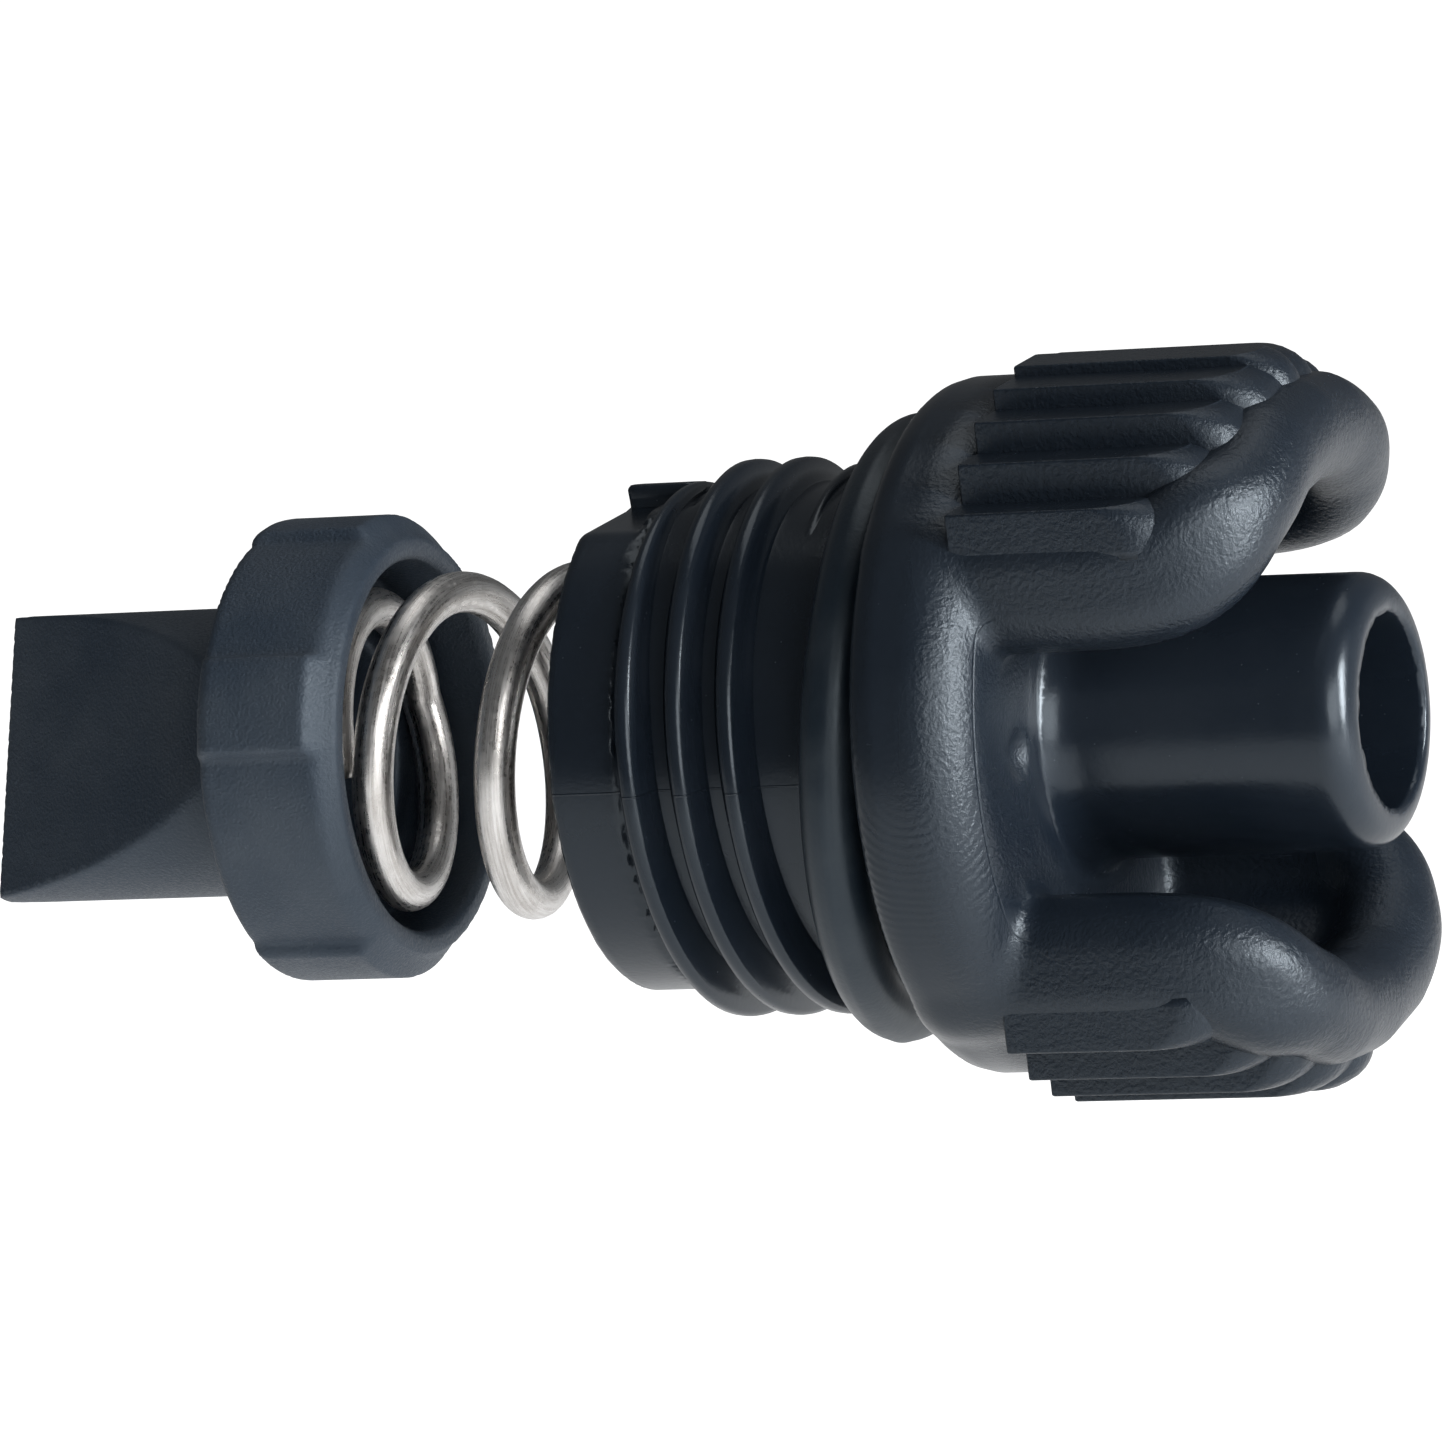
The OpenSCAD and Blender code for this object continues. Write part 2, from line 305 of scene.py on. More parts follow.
def sample_grid(field, low, high, step, block=4):
    """Field values on a grid, worked out only near the surface."""
    low = np.asarray(low, float)
    blocks = np.ceil((np.asarray(high) - low) / step / block).astype(int) + 1
    index = np.stack(np.meshgrid(*[np.arange(b) for b in blocks], indexing="ij"), -1).reshape(-1, 3)
    centres = low + (index * block + (block - 1) / 2) * step
    rough = in_parts(field, centres)
    grid = np.repeat(np.repeat(np.repeat(
        rough.reshape(blocks), block, 0), block, 1), block, 2).astype(np.float64)
    near = index[np.abs(rough) < step * block * 1.1]
    inner = np.stack(np.meshgrid(*[np.arange(block)] * 3, indexing="ij"), -1).reshape(-1, 3)
    fine = (near[:, None, :] * block + inner[None]).reshape(-1, 3)
    grid[tuple(fine.T)] = in_parts(field, low + fine * step)
    return low, grid


def skin(field, low, high, step):
    """Vertices and quads of a field's surface, with its edges kept sharp (dual contouring)."""
    low, grid = sample_grid(field, low, high, step)
    solid = grid < 0
    points, cells = [], []
    for axis in range(3):
        first = [slice(None)] * 3
        second = [slice(None)] * 3
        first[axis], second[axis] = slice(0, -1), slice(1, None)
        at = np.argwhere(solid[tuple(first)] != solid[tuple(second)])
        step_on = np.eye(3, dtype=int)[axis]
        d0, d1 = grid[tuple(at.T)], grid[tuple((at + step_on).T)]
        points.append(low + (at + step_on * (d0 / (d0 - d1))[:, None]) * step)
        b, c = np.eye(3, dtype=int)[(axis + 1) % 3], np.eye(3, dtype=int)[(axis + 2) % 3]
        round_edge = np.stack([at - b - c, at - c, at, at - b], 1)
        backwards = ~solid[tuple(at.T)]
        round_edge[backwards] = round_edge[backwards][:, ::-1]
        cells.append(np.ravel_multi_index(tuple(np.moveaxis(round_edge, -1, 0)), grid.shape))
    points = np.concatenate(points)
    cells = np.concatenate(cells)
    names, quads = np.unique(cells, return_inverse=True)
    quads = quads.reshape(cells.shape)
    return settle(field, points, quads, len(names), step), quads


def settle(field, points, quads, count, step):
    """Places one vertex per cell where the planes through its crossing points meet."""
    normals = slope_parts(field, points)
    offset = np.einsum("ij,ij->i", normals, points)

    def gather(values):
        return sum(np.bincount(quads[:, k], weights=values, minlength=count) for k in range(4))

    share = gather(np.ones(len(points)))
    middle = np.stack([gather(points[:, i]) for i in range(3)], 1) / share[:, None]
    square = np.empty((count, 3, 3))
    for i in range(3):
        for j in range(i, 3):
            square[:, i, j] = square[:, j, i] = gather(normals[:, i] * normals[:, j])
    right = np.stack([gather(normals[:, i] * offset) for i in range(3)], 1)
    right -= np.einsum("nij,nj->ni", square, middle)
    size, axes = np.linalg.eigh(square)
    keep = size > 0.08 * size[:, 2:]
    inverse = np.where(keep, 1 / np.maximum(size, 1e-9), 0)
    move = np.einsum("nij,nj,nkj,nk->ni", axes, inverse, axes, right)
    reach = np.linalg.norm(move, axis=1, keepdims=True)
    move *= np.minimum(1, step * 0.9 / np.maximum(reach, 1e-9))
    vertices = middle + move
    smooth = ~keep[:, 1]
    for _ in range(2):
        p = vertices[smooth]
        vertices[smooth] = p - slope_parts(field, p) * in_parts(field, p)[:, None]
    return vertices


# ---- Screw cap ----

def cap_profile():
    """The cap's turned body as x and radius, bore and spring pocket included."""
    return (
        arc(SHANK_END + EDGE_R, PILOT_R - EDGE_R, EDGE_R, 180, 90, 4)
        + [(SHANK_END + PILOT_L - 0.1, PILOT_R), (SHANK_END + PILOT_L, PILOT_R - 0.1)]
        + [(SHANK_END + PILOT_L, ROOT_R), (-0.35, ROOT_R)]
        + arc(-0.35, ROOT_R + 0.35, 0.35, -90, 0, 4)
        + [(0, FLANGE_R - 0.6)]
        + [(0.12, FLANGE_R - 0.4), (0.45, FLANGE_R - 0.16), (1.1, FLANGE_R)]
        + arc(FLANGE_T - DOME_R, FLANGE_R - DOME_R, DOME_R, 90, 0, 16)
        + [(FLANGE_T, FOOT_R)]
        + arc(FLANGE_T + 1.9, NOZZLE_R + NOZZLE_FILLET, NOZZLE_FILLET, 215, 270, 8)[1:]
        + [(NOZZLE_END - LIP_R, NOZZLE_R - 0.05)]
        + arc(NOZZLE_END - LIP_R, NOZZLE_R - LIP_R - 0.05, LIP_R, 90, 8, 10)
        + [(NOZZLE_END, BORE_R + 0.22), (NOZZLE_END - 0.06, BORE_R + 0.06), (NOZZLE_END - 0.2, BORE_R)]
        + [(POCKET_FLOOR, BORE_R), (POCKET_FLOOR, POCKET_R)]
        + [(SHANK_END + 0.3, POCKET_R), (SHANK_END, POCKET_R + 0.3)]
    )


def bead_height(y):
    """Height of the bead's middle line at y."""
    return BEAD_SIDE_Z + (BEAD_TOP_Z - BEAD_SIDE_Z) * (1 - (np.abs(y) / BEAD_Y) ** CROWN_POWER)


def bead_path(steps=30):
    """Half of the bead's middle line: out along one side and round to the middle."""
    a = np.radians(np.linspace(0, 90, steps + 1))
    y = BEAD_Y * np.cos(a) ** (2 / BEAD_POWER)
    x = BEAD_X0 + (BEAD_REACH - BEAD_X0) * np.sin(a) ** (2 / BEAD_POWER)
    start = np.array([[BEAD_START_X, BEAD_Y, BEAD_SIDE_Z]])
    return np.concatenate([start, np.stack([x, y, bead_height(y)], 1)])


def shoulder_path():
    """A second line above the bead's side, which fills it out to the lowest step."""
    path = bead_path()
    rise = np.clip((path[:, 1] - 5.5) / 3.5, 0, 1)
    rise = rise * rise * (3 - 2 * rise)
    return path + rise[:, None] * np.array(SHOULDER_SHIFT)


def web_distance(x, y, z):
    """The grip's curved plate, inside the bead."""
    r = np.hypot(y, z)
    shell = np.abs(r - (WEB_IN + WEB_OUT) / 2) - (WEB_OUT - WEB_IN) / 2
    across = (y / BEAD_Y) ** BEAD_POWER
    along = (np.maximum(x - BEAD_X0, 0) / (BEAD_REACH - BEAD_X0)) ** BEAD_POWER
    plan = ((across + along) ** (1 / BEAD_POWER) - 1) * 9
    return np.maximum(np.maximum(shell, plan), BEAD_START_X - x)


def cap_field():
    """Distance field of the cap without its thread and the steps on its grips."""
    profile = cap_profile()
    bead = bead_path()
    shoulder = shoulder_path()

    def field(p):
        x, y, z = p[:, 0], np.abs(p[:, 1]), np.abs(p[:, 2] + GRIP_DROP)
        d = outline_distance(profile, x, np.hypot(p[:, 1], p[:, 2]))
        # The grips' distances are needed only near them
        grip = np.full(d.shape, 50.0)
        near = (x > -1) & (z > 2)
        gx, gy, gz = x[near], y[near], z[near]
        tube = path_distance(bead, gx, gy, gz) - BEAD_R
        fill = path_distance(shoulder, gx, gy, gz) - BEAD_R
        beads = soft_min(tube, fill, BEAD_FILLET)
        grip[near] = soft_min(beads, web_distance(gx, gy, gz), WEB_FILLET)
        d = soft_min(d, grip, GRIP_FILLET)
        # The flat on the pilot that clears the port's stop, and the gate's dimple
        y0, z0 = p[:, 1], p[:, 2]
        flat = np.maximum(FLAT_Z - z0, x - (SHANK_END + PILOT_L - 0.4))
        flat = np.minimum(flat, np.maximum(TAB_Z - z0, x - (SHANK_END + PILOT_L + TAB_L)))
        flat = np.maximum(flat, np.abs(y0 - FLAT_Y) - FLAT_HALF)
        d = soft_max(d, -flat, 0.2)
        gate = np.sqrt((x - GATE[0]) ** 2 + (y0 - GATE[1]) ** 2 + (z0 - GATE[2]) ** 2) - GATE_R
        return soft_max(d, -gate, 0.15)

    return field


def thread_rows(turns=TURNS, per_turn=120):
    """Cross-sections of the thread along its helix, as rows of points."""
    section = [(-across, up) for across, up in THREAD_SIDE] + [(0, 1)] + list(THREAD_SIDE[::-1])
    rows = []
    for i in range(int(turns * per_turn) + 1):
        t = i / per_turn
        # The thread grows from nothing at its start, and runs out faster at its end
        rise = max(0.0, min(1.0, 3 * (t - 0.06), 5 * (turns - t)))
        width = FOOT_W * max(0.35, rise)
        a = np.radians(THREAD_ANGLE + 360 * t)
        row = []
        for across, up in section:
            r = ROOT_R - 0.02 + up * (THREAD_R - ROOT_R) * (rise if up > 0 else 1)
            low = THREAD_DROP * max(up, 0)
            row.append((THREAD_X + PITCH * t + across * width, r * np.cos(a), r * np.sin(a) - low))
        rows.append(row)
    return rows


def strip_mesh(rows, closed_rows=False):
    """A tube's skin through rows of points, with its ends closed unless it is a ring."""
    n, count = len(rows[0]), len(rows)
    vertices = [p for row in rows for p in row]
    faces = []
    for i in range(count if closed_rows else count - 1):
        j = (i + 1) % count
        for k in range(n):
            m = (k + 1) % n
            faces.append((i * n + k, i * n + m, j * n + m, j * n + k))
    if not closed_rows:
        faces.append(tuple(range(n - 1, -1, -1)))
        faces.append(tuple((count - 1) * n + k for k in range(n)))
    return vertices, faces


def step_plan(half, nose, side_in, nose_in, corner, edge=CREST_EDGE):
    """Rows across one step, as x and half width, drawn in from its sides and its nose."""
    start, end, w = RIB_START + side_in, nose - nose_in, half - side_in
    r = min(corner, w * 0.92)
    turn = np.radians(np.linspace(0, 90, 4))
    rows = [(start + edge * (1 - np.cos(a)), w - edge * (1 - np.sin(a))) for a in turn]
    turn = np.radians(np.linspace(0, 90, 10))
    return rows + [(end - r * (1 - np.sin(a)), w - r * (1 - np.cos(a))) for a in turn]


def step_levels(half, top, nose, corner, edge=CREST_EDGE, nose_r=RIB_NOSE_R):
    """Plans of one step at rising heights: its nose rolls back, and its crest has a small round."""
    lifts = list(np.linspace(0, nose_r - edge, 8))
    lifts += list(nose_r - edge + edge * np.sin(np.radians((30, 60, 90))))
    levels = []
    for lift in lifts:
        nose_in = nose_r - np.sqrt(nose_r ** 2 - lift ** 2) if lift < nose_r else nose_r
        up = max(0.0, lift - nose_r + edge)
        side_in = edge - np.sqrt(max(0.0, edge ** 2 - up ** 2))
        plan = step_plan(half, nose, side_in, min(nose_in, nose_r * 0.8), corner)
        levels.append((plan, top - nose_r + lift))
    return levels


def step_mesh(half, top, nose, corner, columns=16):
    """One step of a grip: a block with a crisp crest and a rounded nose."""
    def under(y):
        return np.sqrt(RIB_UNDER_R ** 2 - min(abs(y), 8.5) ** 2)

    def sheet(rows, height):
        return [(x, w * (2 * c / columns - 1), height) for x, w in rows for c in range(columns + 1)]

    def lifted(points):
        return [(x, y, max(z, under(y) + 0.2)) for x, y, z in points]

    levels = step_levels(half, top, nose, corner)
    rows, stride = len(levels[0][0]), columns + 1
    border = list(range(stride))
    border += [r * stride + columns for r in range(1, rows)]
    border += [(rows - 1) * stride + c for c in range(columns - 1, -1, -1)]
    border += [r * stride for r in range(rows - 2, 0, -1)]
    squares = [(r * stride + c, r * stride + c + 1, (r + 1) * stride + c + 1, (r + 1) * stride + c)
               for r in range(rows - 1) for c in range(columns)]

    vertices = [(x, y, under(y)) for x, y, _ in sheet(levels[0][0], 0)]
    faces = [(a, d, c, b) for a, b, c, d in squares]
    ring = border
    for level in levels:
        flat = sheet(*level)
        new = list(range(len(vertices), len(vertices) + len(border)))
        vertices += lifted(flat[i] for i in border)
        for k in range(len(border)):
            m = (k + 1) % len(border)
            faces.append((ring[k], ring[m], new[m], new[k]))
        ring = new
    # The top sheet shares the last loop's points
    place = dict(zip(border, ring))
    for i, point in enumerate(flat):
        if i not in place:
            place[i] = len(vertices)
            vertices += lifted([point])
    faces += [tuple(place[i] for i in square) for square in squares]
    return vertices, faces


def grip_steps():
    """The steps on both grips: each crest lies on the rib circle."""
    meshes = []
    for k, nose in enumerate(RIB_NOSES):
        a = np.radians((k + 0.5) * RIB_STEP)
        v, f = step_mesh(RIB_R * np.sin(a), RIB_R * np.cos(a), nose, RIB_CORNERS[k])
        meshes.append(([(x, y, z - GRIP_DROP) for x, y, z in v], f))
        meshes.append(([(x, -y, -z - GRIP_DROP) for x, y, z in v], f))
    return meshes


def join(meshes):
    """One list of vertices and faces from several."""
    vertices, faces = [], []
    for v, f in meshes:
        start = len(vertices)
        vertices += [tuple(map(float, p)) for p in v]
        faces += [tuple(int(i) + start for i in q) for q in f]
    return vertices, faces


def new_piece(name, mesh, body, node, material):
    """A smooth mesh object that stands for a CAD node and rides on its body."""
    vertices, faces = mesh
    data = bpy.data.meshes.new(name)
    data.from_pydata([tuple(c * MM for c in p) for p in vertices], [], faces)
    data.validate()
    data.shade_smooth()
    piece = bpy.data.objects.new(name, data)
    bpy.context.scene.collection.objects.link(piece)
    piece.data.materials.append(material)
    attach(piece, body)
    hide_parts(node)
    return piece


def even_normals(piece):
    """Keeps flat faces flat beside their small rounded edges."""
    fix = piece.modifiers.new("even_normals", "WEIGHTED_NORMAL")
    fix.keep_sharp = True
    fix.weight = 60


# ---- O-ring ----

def ring_mesh(around=240, sides=40):
    """A torus, tilted as it was rolled on, with its fine flash line."""
    centre = (RING_LOW + RING_HIGH) / 2
    tilt, turn = np.radians(RING_TILT), np.radians(RING_TURN)
    axis = np.array([np.cos(tilt), np.sin(tilt) * np.sin(turn), -np.sin(tilt) * np.cos(turn)])
    u = np.cross(axis, (0, 0, 1.0))
    u /= np.linalg.norm(u)
    v = np.cross(axis, u)
    # Its tilt makes the box a little narrower than the ring
    wide = np.linalg.norm((RING_HIGH - RING_LOW)[1:]) / 2 / np.sqrt(2)
    r = wide * 1.003 - CORD_R
    rows = []
    for a in np.linspace(0, 2 * np.pi, around, endpoint=False):
        out = np.cos(a) * u + np.sin(a) * v
        row = []
        for b in np.linspace(0, 2 * np.pi, sides, endpoint=False):
            flash = FLASH_H * np.exp(-(((b + np.pi) % (2 * np.pi) - np.pi) / FLASH_HALF) ** 2)
            row.append(tuple(centre + r * out + (CORD_R + flash) * (np.cos(b) * out + np.sin(b) * axis)))
        rows.append(row)
    return strip_mesh(rows, closed_rows=True)


# ---- Spring ----

def spring_place(t, seat):
    """Rise in a turn and axial place after t turns: the leaning end coil, the open turns, the seat."""
    end, rising = END_NEAR_X - END_LEAN * t, SPRING_NEAR_X + SPRING_PITCH * (t - 1)
    if rising > seat:
        return 0.0, seat
    if end > rising:
        return -END_LEAN, end
    return SPRING_PITCH, rising


def spring_rows(per_turn=96, sides=24):
    """Cross-sections of the wire along the coil."""
    coil_r = SPRING_HIGH[1] - WIRE_R
    seat = SPRING_HIGH[0] - WIRE_R
    turns = 1 + (seat - SPRING_NEAR_X) / SPRING_PITCH + SEAT_TURN
    rows = []
    count = int(turns * per_turn)
    for i in range(count + 1):
        t = turns * i / count
        a = np.pi - 2 * np.pi * t
        r = coil_r - END_DRAW * max(0, 1 - t / DRAW_TURNS)
        lead, x = spring_place(t, seat)
        lead /= 2 * np.pi * r
        out = np.array([0, np.cos(a), np.sin(a)])
        along = np.array([lead, np.sin(a), -np.cos(a)])
        along /= np.linalg.norm(along)
        side = np.cross(out, along)
        middle = np.array([x, 0, 0]) + r * out
        end = min(i, count - i)
        wire_r = WIRE_R - CUT_ROUND * max(0, 1 - end / 2)
        rows.append([tuple(middle + wire_r * (np.cos(b) * out + np.sin(b) * side))
                     for b in np.linspace(0, 2 * np.pi, sides, endpoint=False)])
    return rows


def wire_coordinates(piece, rows):
    """UV map along and round the wire, in millimetres, for the drawing marks."""
    sides, count = len(rows[0]), len(rows)
    length = [0.0]
    for a, b in zip(rows[:-1], rows[1:]):
        length.append(length[-1] + float(np.linalg.norm(np.mean(b, 0) - np.mean(a, 0))))
    layer = piece.data.uv_layers.new(name="wire")
    for face in piece.data.polygons:
        seam = any(v % sides == 0 for v in face.vertices) and any(
            v % sides == sides - 1 for v in face.vertices)
        for loop in face.loop_indices:
            v = piece.data.loops[loop].vertex_index
            k = v % sides
            k = sides if seam and k == 0 else k
            layer.data[loop].uv = (length[min(v // sides, count - 1)], k / sides * 2 * np.pi * WIRE_R)


# ---- Duckbill ----

def collar_profile():
    """The collar as x and radius, with its mouth and the spring's recess."""
    return (
        [(COLLAR_BACK, 4.0)]
        + arc(COLLAR_BACK + BACK_ROUND, COLLAR_R - BACK_ROUND, BACK_ROUND, 180, 90, 4)
        + [(MOUTH_X - 1.35, COLLAR_R), (MOUTH_X - 1.2, COLLAR_R - 0.04), (MOUTH_X - 0.5, COLLAR_R - 0.85)]
        + [(MOUTH_X - 0.3, COLLAR_R - 1.0)]
        + arc(MOUTH_X - 0.35, COLLAR_R - 1.4, 0.35, 70, 0, 4)
        + [(MOUTH_X, RECESS_R + 0.25), (MOUTH_X - 0.25, RECESS_R)]
        + [(RECESS_X, RECESS_R), (RECESS_X, 4.0)]
    )


def bill_distance(x, y, z, radius, length, tip):
    """A round stub cut by two slanting planes down to a thin tip; x counts from the collar."""
    slant = (radius + 0.15 - tip / 2) / length
    face = (np.abs(y) - tip / 2 - slant * (x + length)) / np.hypot(1, slant)
    tube = np.maximum(np.hypot(y, z) - radius, -length - x)
    return soft_max(tube, face, 0.12)


def bill_field():
    """Distance field of the duckbill."""
    profile = collar_profile()
    turn = np.radians(BILL_TURN)
    length = COLLAR_BACK - BILL_LOW[0]

    def field(p):
        x = p[:, 0]
        y = p[:, 1] * np.cos(turn) - p[:, 2] * np.sin(turn)
        z = p[:, 1] * np.sin(turn) + p[:, 2] * np.cos(turn)
        r = np.hypot(y, z)
        # Angle from the flat side, folded to half a turn: the lobes come in pairs
        b = (np.degrees(np.arctan2(z, -y)) + 90) % 180 - 90
        narrow = NARROW_LOBE - np.abs(b)
        wide = WIDE_LOBE - np.abs((b - WIDE_LOBE_AT + 90) % 180 - 90)
        inside = np.radians(np.maximum(narrow, wide)) * COLLAR_R / LOBE_FLANK + 0.5
        rise = np.clip(inside, 0, 1)
        rim = COLLAR_R + LOBE_SPARE - RELIEF + RELIEF * rise * rise * (3 - 2 * rise)
        collar = outline_distance(profile, x, r)
        collar = soft_max(collar, (r - rim) * 0.75, 0.35)
        # The floor between the recess and the bill
        middle, half = (COLLAR_BACK + RECESS_X) / 2, (RECESS_X - COLLAR_BACK) / 2
        plug = np.maximum(np.abs(x - middle) - half, r - PLUG_R)
        along = x - COLLAR_BACK
        bill = bill_distance(along, y, z, BILL_R, length, BILL_TIP)
        bill = np.maximum(bill, along - 2)
        d = soft_min(np.minimum(collar, plug), bill, 0.5)
        # The passage, and the slit from its end to the tip
        way = bill_distance(along, y, z, BILL_R - BILL_WALL, length - LIP_L, 0.5)
        slit = np.maximum(np.maximum(np.abs(y) - SLIT_HALF, np.abs(z) - BILL_R + BILL_WALL), along)
        return np.maximum(d, -np.minimum(way, slit))

    return field


# ---- Materials ----

class Paint:
    """A short way to write a material's nodes."""

    def __init__(self, name, **settings):
        self.material = bpy.data.materials.new(name)
        self.material.use_nodes = True
        self.tree = self.material.node_tree
        self.shader = self.tree.nodes["Principled BSDF"]
        for key, value in settings.items():
            self.shader.inputs[key.replace("_", " ")].default_value = value
        self.place = self.node("ShaderNodeTexCoord").outputs["Object"]

    def node(self, kind, **settings):
        n = self.tree.nodes.new(kind)
        for key, value in settings.items():
            setattr(n, key, value)
        return n

    def plug(self, socket, value):
        """Links another node's output to a socket, or sets the socket to a constant."""
        if isinstance(value, bpy.types.NodeSocket):
            self.tree.links.new(value, socket)
        else:
            socket.default_value = value

    def math(self, operation, a, b=0.0, c=0.0, clamp=False):
        n = self.node("ShaderNodeMath", operation=operation, use_clamp=clamp)
        for socket, value in zip(n.inputs, (a, b, c)):
            self.plug(socket, value)
        return n.outputs[0]

    def axes(self):
        """The object's X, Y and Z, in metres."""
        n = self.node("ShaderNodeSeparateXYZ")
        self.plug(n.inputs[0], self.place)
        return n.outputs["X"], n.outputs["Y"], n.outputs["Z"]

    def stretched(self, scale, place=None):
        """Coordinates stretched by a scale along each axis."""
        n = self.node("ShaderNodeMapping")
        self.plug(n.inputs["Vector"], self.place if place is None else place)
        n.inputs["Scale"].default_value = scale
        return n.outputs[0]

    def noise(self, per_mm, detail=3.0, rough=0.55, place=None):
        """Cloudy noise with this many cells per millimetre."""
        n = self.node("ShaderNodeTexNoise")
        self.plug(n.inputs["Vector"], self.place if place is None else place)
        n.inputs["Scale"].default_value = per_mm / MM
        n.inputs["Detail"].default_value = detail
        n.inputs["Roughness"].default_value = rough
        return n.outputs[0]

    def cells(self, per_mm):
        """Distance to the nearest of scattered points, in cells."""
        n = self.node("ShaderNodeTexVoronoi")
        self.plug(n.inputs["Vector"], self.place)
        n.inputs["Scale"].default_value = per_mm / MM
        return n.outputs["Distance"]

    def span(self, value, low, high, to_low=0.0, to_high=1.0):
        """Maps a range of a value to another, with soft ends."""
        n = self.node("ShaderNodeMapRange", interpolation_type="SMOOTHSTEP")
        for socket, v in zip(n.inputs, (value, low, high, to_low, to_high)):
            self.plug(socket, v)
        return n.outputs[0]

    def colour(self, share, dark, light):
        """A share of the way from a dark colour to a light one."""
        n = self.node("ShaderNodeMix", data_type="RGBA")
        self.plug(n.inputs["Factor"], share)
        n.inputs[6].default_value = (*dark, 1)
        n.inputs[7].default_value = (*light, 1)
        return n.outputs[2]

    def bump(self, height, depth_mm, under=None):
        """A normal from a height, laid over another normal if one is given."""
        n = self.node("ShaderNodeBump")
        n.inputs["Strength"].default_value = 1.0
        n.inputs["Distance"].default_value = depth_mm * MM
        self.plug(n.inputs["Height"], height)
        if under is not None:
            self.plug(n.inputs["Normal"], under)
        return n.outputs[0]

    def away(self, point):
        """Distance from a point, in millimetres."""
        n = self.node("ShaderNodeVectorMath", operation="DISTANCE")
        self.plug(n.inputs[0], self.place)
        n.inputs[1].default_value = [c * MM for c in point]
        return self.math("MULTIPLY", n.outputs["Value"], 1 / MM)

    def dust(self, per_mm, share):
        """Small scattered specks: 1 on a speck."""
        return self.span(self.cells(per_mm), share, share * 0.6)


def black_plastic():
    """Glossy black moulded plastic with a fine grain, flow marks and light wear."""
    p = Paint("moulded_black_plastic", IOR=1.5, Specular_Tint=(0.82, 0.92, 1.0, 1.0))
    x, y, z = p.axes()
    grain = p.noise(3.9, detail=4, rough=0.6)
    cloud = p.noise(0.12, detail=3)
    scratch = p.noise(1.0, detail=2, place=p.stretched((0.15, 2.0, 2.0)))
    specks = p.dust(1.3, 0.06)
    share = p.math("ADD", p.span(cloud, 0.35, 0.7, 0, 0.5), p.math("MULTIPLY", specks, 0.9), clamp=True)
    p.plug(p.shader.inputs["Base Color"], p.colour(share, (0.0080, 0.0122, 0.0188), (0.0150, 0.0200, 0.0275)))
    # The grips are grained; the shank, thread and nozzle are smoother
    radius = p.math("SQRT", p.math("ADD", p.math("MULTIPLY", y, y), p.math("MULTIPLY", z, z)))
    outer = p.span(radius, 7.4 * MM, 8.6 * MM)
    front = p.span(x, 1.5 * MM, 4.5 * MM)
    grained = p.math("MULTIPLY", outer, front)
    rough = p.math("ADD", p.span(cloud, 0.3, 0.7, 0.19, 0.26), p.math("MULTIPLY", grained, 0.06))
    rough = p.math("ADD", rough, p.span(scratch, 0.66, 0.8, 0, 0.05))
    rough = p.math("ADD", rough, p.math("MULTIPLY", specks, 0.25))
    p.plug(p.shader.inputs["Roughness"], rough)
    leather = p.math("MULTIPLY", grain, p.math("MULTIPLY_ADD", grained, 0.85, 0.15))
    normal = p.bump(leather, 0.065)
    # Flow marks ring a point on the near side of the flange
    far = p.away(FLOW_CENTRE)
    wave = p.math("SINE", p.math("MULTIPLY_ADD", p.noise(0.35, detail=2), 9.0, p.math("MULTIPLY", far, 15.0)))
    fade = p.math("MULTIPLY", p.span(far, 0.5, 2.5), p.span(far, 9.0, 5.0))
    fade = p.math("MULTIPLY", fade, p.span(z, 3 * MM, -3 * MM, 0.25, 1.0))
    normal = p.bump(p.math("MULTIPLY", wave, fade), 0.006, normal)
    # The seam of the mould's insert round the channel's floor
    seam = p.math("ABSOLUTE", p.math("SUBTRACT", radius, SEAM_R * MM))
    seam = p.math("MULTIPLY", p.span(seam, 0.09 * MM, 0.02 * MM), p.span(x, 4.9 * MM, 5.2 * MM))
    seam = p.math("MULTIPLY", seam, p.span(x, 6.4 * MM, 6.0 * MM))
    # The mould's parting line along the shank
    parting = p.span(p.math("ABSOLUTE", z), 0.06 * MM, 0.01 * MM)
    parting = p.math("MULTIPLY", parting, p.span(x, 0.0, -0.5 * MM))
    normal = p.bump(p.math("SUBTRACT", parting, seam), 0.03, normal)
    p.plug(p.shader.inputs["Normal"], normal)
    return p.material


def ring_rubber():
    """Soft black rubber, slightly dusty, with faint moulding streaks."""
    p = Paint("o_ring_rubber", IOR=1.52, Specular_Tint=(0.8, 0.92, 1.0, 1.0))
    cloud = p.noise(0.25, detail=4)
    dust = p.math("MULTIPLY", p.dust(2.2, 0.05), p.span(cloud, 0.45, 0.65))
    share = p.math("ADD", p.span(cloud, 0.4, 0.75, 0, 0.4), dust, clamp=True)
    p.plug(p.shader.inputs["Base Color"], p.colour(share, (0.008, 0.014, 0.022), (0.04, 0.048, 0.056)))
    p.plug(p.shader.inputs["Roughness"], p.span(cloud, 0.3, 0.7, 0.3, 0.46))
    p.plug(p.shader.inputs["Normal"], p.bump(p.noise(4.0, detail=3), 0.012))
    return p.material


